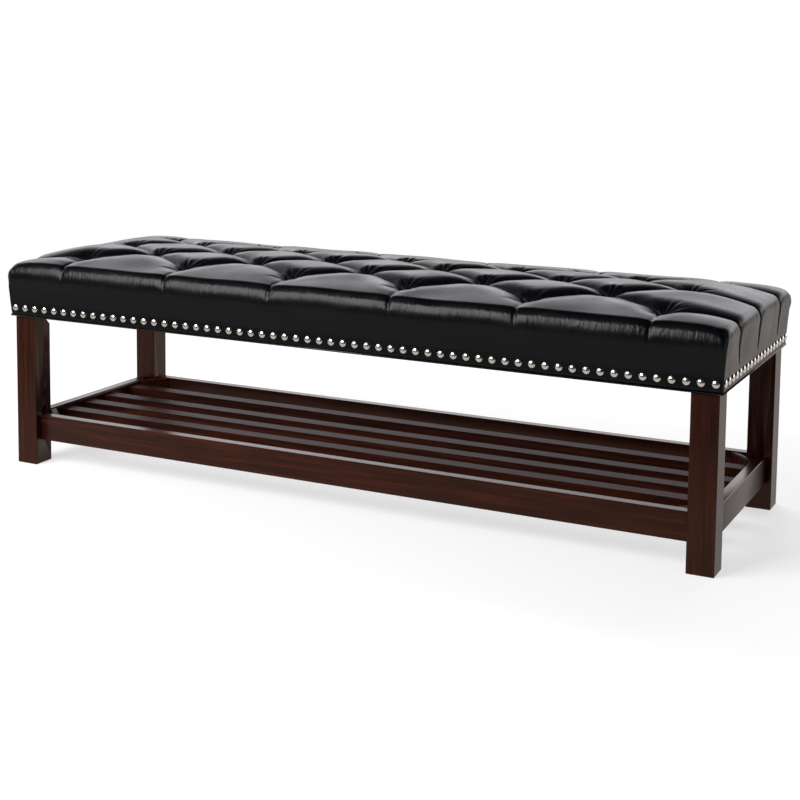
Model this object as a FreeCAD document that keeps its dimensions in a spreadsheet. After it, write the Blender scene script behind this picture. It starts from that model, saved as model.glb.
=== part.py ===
import FreeCAD, Part
import itertools
import math
import os

import Sketcher
from FreeCAD import Placement, Rotation, Vector

# Upholstered bench: a tufted leather seat on four square legs, with a slatted shelf below.
# The origin is on the floor under the middle of the seat. +X runs to the right along the bench's length,
# +Y to the back and +Z up. All sizes are in millimetres.

# Every size that can be set by itself. Each one becomes a named cell of the sheet.
SIZES = {
    # Seat, measured over the nailed band of the leather
    "seat_length": 1524.0,
    "seat_width": 495.0,
    "seat_height": 457.0,
    "cover_height": 132.5,
    "leather_thickness": 1.5,
    "soft_clearance": 0.3,
    "foam_thickness": 20.0,
    # Shape of the padded cover
    "band_height": 26.0,
    "side_bulge": 6.5,
    "bulge_height": 88.0,
    "shoulder_radius": 22.0,
    "end_crown_length": 150.0,
    # Diamond tufting
    "tufts_in_long_row": 6,
    "tuft_rows": 5,
    "tuft_pitch": 252.0,
    "tuft_row_pitch": 82.0,
    "tuft_radius": 30.0,
    "tuft_eye_radius": 2.0,
    "tuft_depth": 30.0,
    "pleat_half_width": 22.0,
    "pleat_depth": 15.0,
    "pleat_fall": 20.0,
    # Seat frame
    "deck_thickness": 12.0,
    "skirt_thickness": 5.2,
    "apron_thickness": 22.0,
    "apron_height": 46.0,
    "apron_lift": 2.0,
    "crossbar_width": 40.0,
    "crossbar_spacing": 500.0,
    "dust_cover_thickness": 1.0,
    "dust_cover_gap": 1.0,
    "corner_block_thickness": 25.0,
    "corner_block_height": 36.0,
    "corner_block_gap": 3.0,
    # Hanger bolts
    "bolt_diameter": 8.0,
    "bolt_clearance": 0.25,
    "bolt_bite": 28.0,
    "bolt_tail": 6.0,
    "washer_diameter": 22.0,
    "washer_thickness": 2.0,
    "nut_width": 13.0,
    "nut_thickness": 6.5,
    # Legs
    "leg_size": 50.0,
    "leg_chamfer": 20.0,
    "leg_chamfer_drop": 7.5,
    "foot_chamfer": 1.5,
    "edge_break": 1.0,
    # Shelf
    "rail_lift": 52.0,
    "rail_height": 53.5,
    "rail_thickness": 21.0,
    "side_rail_setback": 14.5,
    "end_rail_setback": 11.5,
    "tenon_thickness": 11.0,
    "tenon_height": 40.0,
    "tenon_length": 18.0,
    "joint_clearance": 0.1,
    "slat_width": 33.0,
    "slat_thickness": 20.0,
    "slat_drop": 8.5,
    "slat_housing": 8.0,
    "front_slat_gap": 73.0,
    "wide_slat_gap": 61.0,
    "back_slat_gap": 60.0,
    "brace_thickness": 12.0,
    "brace_height": 44.0,
    "brace_reach": 53.0,
    "brace_drop": 1.5,
    # Trim
    "welt_diameter": 5.0,
    "nail_head_diameter": 14.5,
    "nail_head_height": 4.8,
    "nail_rise": 13.5,
    "nail_corner_margin": 12.7,
    "nails_per_side": 60,
    "nails_per_end": 19,
}

# A nail's dome has flat facets: the ring between rim and top stands at these shares of its radius and height.
NAIL_FACETS = 8
NAIL_RING_RADIUS = 0.68
NAIL_RING_HEIGHT = 0.66

# A tuft's funnel and a pleat's flanks are flat facets too. Each bends once, at these shares of its half
# breadth and depth, so that it falls gently near the crown and steeply near the stitch.
TUFT_FACETS = 12
FOLD_BREADTH = 0.4
FOLD_DEPTH = 0.3

# Places that follow from the sizes
LEG_FACE_X = (
    "(sizes.seat_length / 2 - sizes.leather_thickness - sizes.soft_clearance - sizes.skirt_thickness)"
)
LEG_FACE_Y = (
    "(sizes.seat_width / 2 - sizes.leather_thickness - sizes.soft_clearance - sizes.skirt_thickness)"
)
LEG_INNER_X = f"({LEG_FACE_X} - sizes.leg_size)"
LEG_INNER_Y = f"({LEG_FACE_Y} - sizes.leg_size)"
HEM_LEVEL = "(sizes.seat_height - sizes.cover_height)"
APRON_BOTTOM = f"({HEM_LEVEL} + sizes.apron_lift)"
APRON_INNER_X = f"({LEG_FACE_X} - sizes.apron_thickness)"
APRON_INNER_Y = f"({LEG_FACE_Y} - sizes.apron_thickness)"
DECK_BOTTOM = f"({APRON_BOTTOM} + sizes.apron_height)"
DECK_TOP = f"({DECK_BOTTOM} + sizes.deck_thickness)"
FOAM_BOTTOM = f"({DECK_TOP} + sizes.soft_clearance)"
FRAME_HALF_X = f"({LEG_FACE_X} + sizes.skirt_thickness)"
FRAME_HALF_Y = f"({LEG_FACE_Y} + sizes.skirt_thickness)"
SHELF_INNER_X = f"({LEG_FACE_X} - sizes.end_rail_setback - sizes.rail_thickness)"
SHELF_INNER_Y = f"({LEG_FACE_Y} - sizes.side_rail_setback - sizes.rail_thickness)"
RAIL_TOP = "(sizes.rail_lift + sizes.rail_height)"
SLAT_BOTTOM = f"({RAIL_TOP} - sizes.slat_drop - sizes.slat_thickness)"
TENON_BOTTOM = "(sizes.rail_lift + sizes.rail_height / 2 - sizes.tenon_height / 2)"
WELT_X = f"({LEG_FACE_X} + sizes.soft_clearance + sizes.welt_diameter / 2)"
WELT_Y = f"({LEG_FACE_Y} + sizes.soft_clearance + sizes.welt_diameter / 2)"
WELT_LEVEL = f"({HEM_LEVEL} - sizes.soft_clearance - sizes.welt_diameter / 2)"

# Places on a corner's diagonal at bolt height, as distances outside the leg's inner edge
BOLT_LEVEL = f"({APRON_BOTTOM} + sizes.apron_height / 2)"
LEG_FLAT = "(sizes.leg_chamfer / sqrt(2))"
BOLT_TIP = f"({LEG_FLAT} + sizes.bolt_bite)"
BLOCK_OUTER = f"({LEG_FLAT} - sizes.corner_block_gap)"
BLOCK_INNER = f"({BLOCK_OUTER} - sizes.corner_block_thickness)"
NUT_FOOT = f"({BLOCK_INNER} - sizes.washer_thickness)"
BOLT_TAIL = f"({NUT_FOOT} - sizes.nut_thickness - sizes.bolt_tail)"
BOLT_BORE = "(sizes.bolt_diameter + 2 * sizes.bolt_clearance)"

# Signs of the bench's two ends and two sides
LEFT, RIGHT = -1, 1
FRONT, BACK = -1, 1
ENDS = {"left": LEFT, "right": RIGHT}
SIDES = {"front": FRONT, "back": BACK}
CORNERS = {f"{side}_{end}": (ENDS[end], SIDES[side]) for side in SIDES for end in ENDS}

ALONG_X = Vector(1, 0, 0)
ALONG_Y = Vector(0, 1, 0)
UP = Vector(0, 0, 1)

doc = FreeCAD.newDocument("upholstered_bench")
sub_parts = []


def make_sheet():
    """Put every size in the sheet, one named cell each."""
    sheet = doc.addObject("Spreadsheet::Sheet", "sizes")
    for row, (name, value) in enumerate(SIZES.items(), start=1):
        sheet.set(f"A{row}", name)
        sheet.set(f"B{row}", str(value))
        sheet.setAlias(f"B{row}", name)
    doc.recompute()
    return sheet


sizes = make_sheet()


def evaluate(formula):
    """The present value of a formula."""
    value = sizes.evalExpression(formula)
    return float(getattr(value, "Value", value))


def size(name):
    """The present value of one named cell."""
    return evaluate(f"sizes.{name}")


def sub_part(thing, label):
    """Register an object as a sub-part of the bench under its own name."""
    thing.Label = label
    sub_parts.append(thing)
    return thing


def bind(thing, **formulas):
    """Bind properties to formulas. A double underscore stands for a dot in a property's path."""
    for name, formula in formulas.items():
        thing.setExpression(name.replace("__", "."), formula)


def place(thing, x, y, z):
    """Bind an object's position to three formulas."""
    bind(thing, Placement__Base__x=x, Placement__Base__y=y, Placement__Base__z=z)


def new_body(label):
    """A sub-part made as a body. It may hold separate solids, for pieces kept as a group."""
    body = doc.addObject("PartDesign::Body", label)
    body.AllowCompound = True
    return sub_part(body, label)


def box(body, kind, name, span_x, span_y, span_z):
    """Add or cut a box. Each span is its low side and its length, and kind is Additive or Subtractive."""
    feature = body.newObject(f"PartDesign::{kind}Box", name)
    place(feature, span_x[0], span_y[0], span_z[0])
    bind(feature, Length=span_x[1], Width=span_y[1], Height=span_z[1])
    return feature


def outwards(sign, start, depth):
    """The span that begins at a distance from the middle and runs outwards on the side that sign names."""
    low = f"({start})" if sign > 0 else f"(-({start}) - ({depth}))"
    return low, depth


def across(half):
    """The span that reaches equally far on both sides of the middle."""
    return f"(-({half}))", f"(2 * ({half}))"


def rod(body, kind, name, diameter, length, foot, direction):
    """Add or cut a cylinder that starts at its foot, three formulas, and runs in a fixed direction."""
    feature = body.newObject(f"PartDesign::{kind}Cylinder", name)
    feature.Placement = Placement(Vector(), Rotation(UP, direction))
    place(feature, *foot)
    bind(feature, Radius=f"({diameter}) / 2", Height=length)
    return feature


def origin_plane(body, role):
    """One of a body's own origin planes."""
    return next(item for item in body.Origin.OriginFeatures if item.Role == role)


def polygon_sketch(body, name, plane, corners):
    """A closed polygon on one of the body's origin planes. Each corner is a pair of formulas."""
    sketch = body.newObject("Sketcher::SketchObject", name)
    sketch.AttachmentSupport = (origin_plane(body, plane), "")
    sketch.MapMode = "FlatFace"
    points = [Vector(evaluate(u), evaluate(v), 0) for u, v in corners]
    count = len(points)
    for index, point in enumerate(points):
        sketch.addGeometry(Part.LineSegment(point, points[(index + 1) % count]))
    for index in range(count):
        sketch.addConstraint(Sketcher.Constraint("Coincident", index, 2, (index + 1) % count, 1))
    for index, (u, v) in enumerate(corners):
        hold_u = sketch.addConstraint(Sketcher.Constraint("DistanceX", -1, 1, index, 1, points[index].x))
        hold_v = sketch.addConstraint(Sketcher.Constraint("DistanceY", -1, 1, index, 1, points[index].y))
        sketch.setExpression(f"Constraints[{hold_u}]", u)
        sketch.setExpression(f"Constraints[{hold_v}]", v)
    return sketch


def pad(body, name, sketch, length):
    """Raise a sketch by a length."""
    feature = body.newObject("PartDesign::Pad", name)
    feature.Profile = sketch
    bind(feature, Length=length)
    return feature


def chamfer(body, name, base, picks, amount):
    """Chamfer the edges of a feature that the test picks."""
    doc.recompute()
    names = [f"Edge{index}" for index, edge in enumerate(base.Shape.Edges, start=1) if picks(edge)]
    feature = body.newObject("PartDesign::Chamfer", name)
    feature.Base = (base, names)
    bind(feature, Size=amount)
    return feature


def runs_along(axis):
    """The test for straight edges that lie along an axis."""
    return lambda edge: abs(edge.tangentAt(edge.FirstParameter).dot(axis)) > 0.999


def lies_low(edge):
    """The test for edges on the floor."""
    return edge.BoundBox.ZMax < 0.001


def diagonal(sign_x, sign_y):
    """The level direction from the middle of the bench towards one of its corners."""
    return Vector(sign_x, sign_y, 0).normalize()


def on_diagonal(sign_x, sign_y, distance, level=BOLT_LEVEL):
    """A point on a corner's diagonal, at a distance outside the leg's inner edge."""
    x = f"{sign_x} * ({LEG_INNER_X} + ({distance}) / sqrt(2))"
    y = f"{sign_y} * ({LEG_INNER_Y} + ({distance}) / sqrt(2))"
    return x, y, level


def make_leg(corner, sign_x, sign_y):
    """A square post, mortised for two shelf rails, with a flat at its top for the hanger bolt."""
    body = new_body(f"leg_{corner}")
    span_x = outwards(sign_x, LEG_INNER_X, "sizes.leg_size")
    span_y = outwards(sign_y, LEG_INNER_Y, "sizes.leg_size")
    post = box(body, "Additive", "post", span_x, span_y, ("0", DECK_BOTTOM))
    arrises = chamfer(body, "arrises", post, runs_along(UP), "sizes.edge_break")
    chamfer(body, "foot", arrises, lies_low, "sizes.foot_chamfer")

    flat_start = f"({HEM_LEVEL} - sizes.leg_chamfer_drop)"
    run_out = f"({flat_start} - sizes.leg_chamfer)"
    outline = [("0", run_out), (LEG_FLAT, flat_start), (LEG_FLAT, DECK_BOTTOM), ("0", DECK_BOTTOM)]
    corner_cut = polygon_sketch(body, "corner_cut", "XZ_Plane", outline)
    bearing = math.degrees(math.atan2(sign_y, sign_x))
    corner_cut.AttachmentOffset = Placement(Vector(), Rotation(ALONG_Y, bearing))
    bind(
        corner_cut,
        AttachmentOffset__Base__x=f"{sign_x} * {LEG_INNER_X}",
        AttachmentOffset__Base__z=f"{-sign_y} * {LEG_INNER_Y}",
    )
    flat = body.newObject("PartDesign::Pocket", "bolt_flat")
    flat.Profile = corner_cut
    flat.Midplane = True
    bind(flat, Length="2 * sizes.leg_chamfer")

    depth = "(sizes.tenon_length + sizes.joint_clearance)"
    width = "(sizes.tenon_thickness + 2 * sizes.joint_clearance)"
    inset = f"(sizes.rail_thickness - {width}) / 2"
    span_z = (f"{TENON_BOTTOM} - sizes.joint_clearance", "sizes.tenon_height + 2 * sizes.joint_clearance")
    span_x = outwards(sign_x, LEG_INNER_X, depth)
    span_y = outwards(sign_y, f"{SHELF_INNER_Y} + {inset}", width)
    box(body, "Subtractive", "side_rail_mortise", span_x, span_y, span_z)
    span_x = outwards(sign_x, f"{SHELF_INNER_X} + {inset}", width)
    span_y = outwards(sign_y, LEG_INNER_Y, depth)
    box(body, "Subtractive", "end_rail_mortise", span_x, span_y, span_z)

    tip = on_diagonal(sign_x, sign_y, BOLT_TIP)
    rod(body, "Subtractive", "bolt_hole", BOLT_BORE, BOLT_TIP, tip, -diagonal(sign_x, sign_y))


def make_side_rail(side, sign_y):
    """A long shelf rail with a stub tenon at each end."""
    body = new_body(f"shelf_rail_{side}")
    span_y = outwards(sign_y, SHELF_INNER_Y, "sizes.rail_thickness")
    span_z = ("sizes.rail_lift", "sizes.rail_height")
    rail = box(body, "Additive", "rail", across(LEG_INNER_X), span_y, span_z)
    chamfer(body, "arrises", rail, runs_along(ALONG_X), "sizes.edge_break")
    inset = "(sizes.rail_thickness - sizes.tenon_thickness) / 2"
    span_x = across(f"{LEG_INNER_X} + sizes.tenon_length")
    span_y = outwards(sign_y, f"{SHELF_INNER_Y} + {inset}", "sizes.tenon_thickness")
    box(body, "Additive", "tenons", span_x, span_y, (TENON_BOTTOM, "sizes.tenon_height"))


def slat_fronts():
    """The front edge of each slat, from the front of the shelf to the back.

    The first and last gap and the wide gap before the last slat are set. The other two share what is left.
    """
    set_gaps = "(sizes.front_slat_gap + sizes.wide_slat_gap + sizes.back_slat_gap)"
    even_gap = f"((2 * {SHELF_INNER_Y} - {set_gaps} - 4 * sizes.slat_width) / 2)"
    first = f"(sizes.front_slat_gap - {SHELF_INNER_Y})"
    second = f"({first} + sizes.slat_width + {even_gap})"
    fourth = f"({SHELF_INNER_Y} - sizes.back_slat_gap - sizes.slat_width)"
    third = f"({fourth} - sizes.wide_slat_gap - sizes.slat_width)"
    return [first, second, third, fourth]


def make_end_rail(end, sign_x):
    """A short shelf rail with a stub tenon at each end and a blind housing for each slat."""
    body = new_body(f"shelf_rail_{end}")
    span_x = outwards(sign_x, SHELF_INNER_X, "sizes.rail_thickness")
    span_z = ("sizes.rail_lift", "sizes.rail_height")
    rail = box(body, "Additive", "rail", span_x, across(LEG_INNER_Y), span_z)
    chamfer(body, "arrises", rail, runs_along(ALONG_Y), "sizes.edge_break")
    inset = "(sizes.rail_thickness - sizes.tenon_thickness) / 2"
    span_x = outwards(sign_x, f"{SHELF_INNER_X} + {inset}", "sizes.tenon_thickness")
    span_y = across(f"{LEG_INNER_Y} + sizes.tenon_length")
    box(body, "Additive", "tenons", span_x, span_y, (TENON_BOTTOM, "sizes.tenon_height"))

    slack = "sizes.joint_clearance"
    span_x = outwards(sign_x, SHELF_INNER_X, f"(sizes.slat_housing + {slack})")
    span_z = (f"{SLAT_BOTTOM} - {slack}", f"sizes.slat_thickness + 2 * {slack}")
    for number, front in enumerate(slat_fronts(), start=1):
        span_y = (f"{front} - {slack}", f"sizes.slat_width + 2 * {slack}")
        box(body, "Subtractive", f"housing_{number}", span_x, span_y, span_z)


def make_slat(number, front):
    """A shelf slat whose ends are let into the end rails."""
    body = new_body(f"shelf_slat_{number}")
    span_x = across(f"{SHELF_INNER_X} + sizes.slat_housing")
    span_z = (SLAT_BOTTOM, "sizes.slat_thickness")
    slat = box(body, "Additive", "slat", span_x, (front, "sizes.slat_width"), span_z)
    chamfer(body, "arrises", slat, runs_along(ALONG_X), "sizes.edge_break")


def in_corner(sign_x, sign_y, corners):
    """The corners of an outline, moved from the back right quarter to the quarter that the signs name."""
    return [(f"{sign_x} * ({u})", f"{sign_y} * ({v})") for u, v in corners]


def make_brace(corner, sign_x, sign_y):
    """A diagonal board glued across one corner of the shelf frame."""
    body = new_body(f"shelf_brace_{corner}")
    far_reach = "sizes.brace_reach"
    near_reach = "(sizes.brace_reach - sizes.brace_thickness * sqrt(2))"
    outline = [
        (f"{SHELF_INNER_X} - {far_reach}", SHELF_INNER_Y),
        (f"{SHELF_INNER_X} - {near_reach}", SHELF_INNER_Y),
        (SHELF_INNER_X, f"{SHELF_INNER_Y} - {near_reach}"),
        (SHELF_INNER_X, f"{SHELF_INNER_Y} - {far_reach}"),
    ]
    sketch = polygon_sketch(body, "outline", "XY_Plane", in_corner(sign_x, sign_y, outline))
    pad(body, "board", sketch, "sizes.brace_height")
    place(body, "0", "0", f"{RAIL_TOP} - sizes.brace_drop - sizes.brace_height")


def make_corner_block(corner, sign_x, sign_y):
    """A thick diagonal block between two aprons, bored for the hanger bolt."""
    body = new_body(f"seat_corner_block_{corner}")
    outer_sum = f"({LEG_INNER_X} + {LEG_INNER_Y} + {BLOCK_OUTER} * sqrt(2))"
    inner_sum = f"({LEG_INNER_X} + {LEG_INNER_Y} + {BLOCK_INNER} * sqrt(2))"
    outline = [
        (f"{inner_sum} - {APRON_INNER_Y}", APRON_INNER_Y),
        (f"{outer_sum} - {APRON_INNER_Y}", APRON_INNER_Y),
        (APRON_INNER_X, f"{outer_sum} - {APRON_INNER_X}"),
        (APRON_INNER_X, f"{inner_sum} - {APRON_INNER_X}"),
    ]
    sketch = polygon_sketch(body, "outline", "XY_Plane", in_corner(sign_x, sign_y, outline))
    pad(body, "block", sketch, "sizes.corner_block_height")
    place(body, "0", "0", f"{BOLT_LEVEL} - sizes.corner_block_height / 2")
    mouth = on_diagonal(sign_x, sign_y, BLOCK_OUTER, level="sizes.corner_block_height / 2")
    way = -diagonal(sign_x, sign_y)
    rod(body, "Subtractive", "bolt_hole", BOLT_BORE, "sizes.corner_block_thickness", mouth, way)


def make_hanger_bolts():
    """The four hanger bolts. Each is screwed into its leg and passes through its corner block."""
    body = new_body("hanger_bolts")
    for corner, signs in CORNERS.items():
        tip = on_diagonal(*signs, BOLT_TIP)
        length = f"{BOLT_TIP} - {BOLT_TAIL}"
        rod(body, "Additive", f"bolt_{corner}", "sizes.bolt_diameter", length, tip, -diagonal(*signs))


def make_bolt_washers():
    """A washer on each hanger bolt, flat on its corner block."""
    body = new_body("bolt_washers")
    thickness = "sizes.washer_thickness"
    for corner, signs in CORNERS.items():
        foot = on_diagonal(*signs, BLOCK_INNER)
        way = -diagonal(*signs)
        rod(body, "Additive", f"disc_{corner}", "sizes.washer_diameter", thickness, foot, way)
        rod(body, "Subtractive", f"eye_{corner}", BOLT_BORE, thickness, foot, way)


def make_bolt_nuts():
    """A hexagon nut on each washer."""
    body = new_body("bolt_nuts")
    for corner, signs in CORNERS.items():
        foot = on_diagonal(*signs, NUT_FOOT)
        way = -diagonal(*signs)
        nut = body.newObject("PartDesign::AdditivePrism", f"nut_{corner}")
        nut.Polygon = 6
        nut.Placement = Placement(Vector(), Rotation(UP, way))
        place(nut, *foot)
        bind(nut, Circumradius="sizes.nut_width / sqrt(3)", Height="sizes.nut_thickness")
        rod(body, "Subtractive", f"bore_{corner}", BOLT_BORE, "sizes.nut_thickness", foot, way)


def make_board(label, span_x, span_y, span_z):
    """A plain board."""
    box(new_body(label), "Additive", "board", span_x, span_y, span_z)


def make_seat_frame():
    """The aprons and crossbars, the deck on top of them and the skirt boards round the outside."""
    apron_z = (APRON_BOTTOM, "sizes.apron_height")
    skirt_z = (HEM_LEVEL, f"{DECK_TOP} - {HEM_LEVEL}")
    bar_start = "(sizes.crossbar_spacing - sizes.crossbar_width) / 2"
    for side, sign in SIDES.items():
        apron_y = outwards(sign, APRON_INNER_Y, "sizes.apron_thickness")
        skirt_y = outwards(sign, LEG_FACE_Y, "sizes.skirt_thickness")
        make_board(f"seat_apron_{side}", across(LEG_INNER_X), apron_y, apron_z)
        make_board(f"skirt_board_{side}", across(FRAME_HALF_X), skirt_y, skirt_z)
    for end, sign in ENDS.items():
        apron_x = outwards(sign, APRON_INNER_X, "sizes.apron_thickness")
        skirt_x = outwards(sign, LEG_FACE_X, "sizes.skirt_thickness")
        bar_x = outwards(sign, bar_start, "sizes.crossbar_width")
        make_board(f"seat_apron_{end}", apron_x, across(LEG_INNER_Y), apron_z)
        make_board(f"skirt_board_{end}", skirt_x, across(LEG_FACE_Y), skirt_z)
        make_board(f"seat_crossbar_{end}", bar_x, across(APRON_INNER_Y), apron_z)
    deck_z = (DECK_BOTTOM, "sizes.deck_thickness")
    make_board("seat_deck", across(LEG_FACE_X), across(LEG_FACE_Y), deck_z)


def make_foam():
    """The firm foam slab between the deck and the soft tufted layer."""
    slab_z = (FOAM_BOTTOM, "sizes.foam_thickness")
    make_board("foam_slab", across(FRAME_HALF_X), across(FRAME_HALF_Y), slab_z)


def make_dust_cover():
    """A thin cloth under the aprons, cut out round the legs."""
    body = new_body("dust_cover")
    far_x = f"({LEG_FACE_X} - sizes.soft_clearance)"
    far_y = f"({LEG_FACE_Y} - sizes.soft_clearance)"
    near_x = f"({LEG_INNER_X} - sizes.dust_cover_gap)"
    near_y = f"({LEG_INNER_Y} - sizes.dust_cover_gap)"
    quarter = [(far_x, near_y), (near_x, near_y), (near_x, far_y)]
    outline = in_corner(RIGHT, BACK, quarter) + in_corner(LEFT, BACK, quarter[::-1])
    outline += in_corner(LEFT, FRONT, quarter) + in_corner(RIGHT, FRONT, quarter[::-1])
    pad(body, "cloth", polygon_sketch(body, "outline", "XY_Plane", outline), "sizes.dust_cover_thickness")
    place(body, "0", "0", f"{APRON_BOTTOM} - sizes.soft_clearance - sizes.dust_cover_thickness")


def make_welt(name, axis, sign):
    """One length of the round welt under the hem, mitred at both ends where it meets its neighbours."""
    lengthwise = axis is ALONG_X
    radius = "sizes.welt_diameter / 2"
    half_along, half_across = (WELT_X, WELT_Y) if lengthwise else (WELT_Y, WELT_X)
    low_end = f"-({half_along} + {radius})"
    aside = f"{sign} * {half_across}"
    cord = doc.addObject("Part::Cylinder", f"{name}_cord")
    cord.Placement = Placement(Vector(), Rotation(UP, axis))
    bind(cord, Radius=radius, Height=f"2 * ({half_along} + {radius})")
    if lengthwise:
        place(cord, low_end, aside, WELT_LEVEL)
    else:
        place(cord, aside, low_end, WELT_LEVEL)

    mitre = doc.addObject("PartDesign::Body", f"{name}_mitre")
    outer = (f"({half_along} + {radius})", f"{sign} * ({half_across} + {radius})")
    inner = (f"({half_along} - {radius})", f"{sign} * ({half_across} - {radius})")
    outline = [(f"-{outer[0]}", outer[1]), outer, inner, (f"-{inner[0]}", inner[1])]
    if not lengthwise:
        outline = [(v, u) for u, v in outline]
    pad(mitre, "wedge", polygon_sketch(mitre, "outline", "XY_Plane", outline), "sizes.welt_diameter")
    place(mitre, "0", "0", f"{WELT_LEVEL} - {radius}")

    welt = doc.addObject("Part::MultiCommon", name)
    welt.Shapes = [cord, mitre]
    sub_part(welt, name)


def make_shaped(label, shape):
    """A sub-part whose shape is worked out here from the sheet's sizes."""
    thing = doc.addObject("Part::Feature", label)
    thing.Shape = shape
    sub_part(thing, label)


def faceted(facets, rings):
    """A solid round +Z with flat facets, built up from rings: pairs of radius and level. Radius 0 is a tip."""

    def corners(radius, level):
        angles = [2 * math.pi * step / facets for step in range(facets)]
        return [Vector(radius * math.cos(angle), radius * math.sin(angle), level) for angle in angles]

    levels = [corners(radius, level) for radius, level in rings]
    outlines = [levels[0]]
    for lower, upper, (upper_radius, _) in zip(levels, levels[1:], rings[1:]):
        for index in range(facets):
            after = (index + 1) % facets
            closing = [upper[after], upper[index]] if upper_radius > 0 else [upper[index]]
            outlines.append([lower[index], lower[after], *closing])
    if rings[-1][0] > 0:
        outlines.append(levels[-1])
    faces = [Part.Face(Part.makePolygon(points + points[:1])) for points in outlines]
    return Part.makeSolid(Part.makeShell(faces))


def nail_head():
    """A domed nail head, standing on its rim."""
    radius = size("nail_head_diameter") / 2
    height = size("nail_head_height")
    ring = (NAIL_RING_RADIUS * radius, NAIL_RING_HEIGHT * height)
    return faceted(NAIL_FACETS, [(radius, 0), ring, (0, height)])


def make_nail_row(label, count, first, last, facing):
    """Evenly spaced nail heads from one point to another, their domes facing one way."""
    head = nail_head()
    turn = Rotation(UP, facing)
    nails = []
    for index in range(count):
        nail = head.copy()
        nail.Placement = Placement(first + (last - first) * (index / (count - 1)), turn)
        nails.append(nail)
    make_shaped(label, Part.makeCompound(nails))


def make_nails():
    """The rows of nail heads on the two sides and the two ends."""
    half_x = size("seat_length") / 2
    half_y = size("seat_width") / 2
    run_x = half_x - size("nail_corner_margin")
    run_y = half_y - size("nail_corner_margin")
    level = evaluate(HEM_LEVEL) + size("nail_rise")
    for side, sign in SIDES.items():
        first = Vector(-run_x, sign * half_y, level)
        last = Vector(run_x, sign * half_y, level)
        make_nail_row(f"nails_{side}", int(size("nails_per_side")), first, last, ALONG_Y * sign)
    for end, sign in ENDS.items():
        first = Vector(sign * half_x, -run_y, level)
        last = Vector(sign * half_x, run_y, level)
        make_nail_row(f"nails_{end}", int(size("nails_per_end")), first, last, ALONG_X * sign)


def mirrored(point):
    """A point of an outline, mirrored left to right."""
    return Vector(-point.x, point.y, 0)


class Crown:
    """The seat's outline in one direction: nailed band, swelling side, rounded shoulder and crowned top."""

    def __init__(self, band_half, flat_half):
        """Take the half breadth of the nailed band and that of the flat stretch on top."""
        self.band_half = band_half
        self.flat_half = flat_half
        self.wide_half = band_half + size("side_bulge")
        self.hem = evaluate(HEM_LEVEL)
        self.wide_level = self.hem + size("bulge_height")
        self.top = size("seat_height")
        self.shoulder = size("shoulder_radius")
        drop = self.top - self.wide_level
        reach = self.wide_half - self.shoulder - flat_half
        self.radius = (reach**2 / (drop - self.shoulder) + self.shoulder + drop) / 2

    def level(self, distance):
        """The crown's height at a distance from the middle."""
        past_flat = max(abs(distance) - self.flat_half, 0)
        return self.top - self.radius + math.sqrt(self.radius**2 - past_flat**2)

    def outline(self):
        """The closed outline, with the breadth along x and the height along y."""
        shoulder_centre = Vector(self.wide_half - self.shoulder, self.wide_level, 0)
        crown_centre = Vector(self.flat_half, self.top - self.radius, 0)
        lean = math.atan2(shoulder_centre.y - crown_centre.y, shoulder_centre.x - crown_centre.x)

        def around(centre, radius, angle):
            return centre + Vector(radius * math.cos(angle), radius * math.sin(angle), 0)

        hem_corner = Vector(self.band_half, self.hem, 0)
        band_top = Vector(self.band_half, self.hem + size("band_height"), 0)
        widest = around(shoulder_centre, self.shoulder, 0)
        on_shoulder = around(shoulder_centre, self.shoulder, lean / 2)
        meeting = around(shoulder_centre, self.shoulder, lean)
        on_crown = around(crown_centre, self.radius, (lean + math.pi / 2) / 2)
        flat_end = Vector(self.flat_half, self.top, 0)
        if self.flat_half > 0:
            crown = [
                Part.Arc(meeting, on_crown, flat_end).toShape(),
                Part.makeLine(flat_end, mirrored(flat_end)),
                Part.Arc(mirrored(flat_end), mirrored(on_crown), mirrored(meeting)).toShape(),
            ]
        else:
            crown = [Part.Arc(meeting, flat_end, mirrored(meeting)).toShape()]
        edges = [
            Part.makeLine(mirrored(hem_corner), hem_corner),
            Part.makeLine(hem_corner, band_top),
            Part.makeLine(band_top, widest),
            Part.Arc(widest, on_shoulder, meeting).toShape(),
            *crown,
            Part.Arc(mirrored(meeting), mirrored(on_shoulder), mirrored(widest)).toShape(),
            Part.makeLine(mirrored(widest), mirrored(band_top)),
            Part.makeLine(mirrored(band_top), mirrored(hem_corner)),
        ]
        return Part.Wire(edges)

    def solid(self, upright, length):
        """The outline, stood upright by a rotation and drawn out evenly by a length."""
        face = Part.Face(self.outline())
        face.Placement = Placement(Vector(), upright)
        way = upright.multVec(UP) * length
        face.translate(way * -0.5)
        return face.extrude(way)


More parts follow.
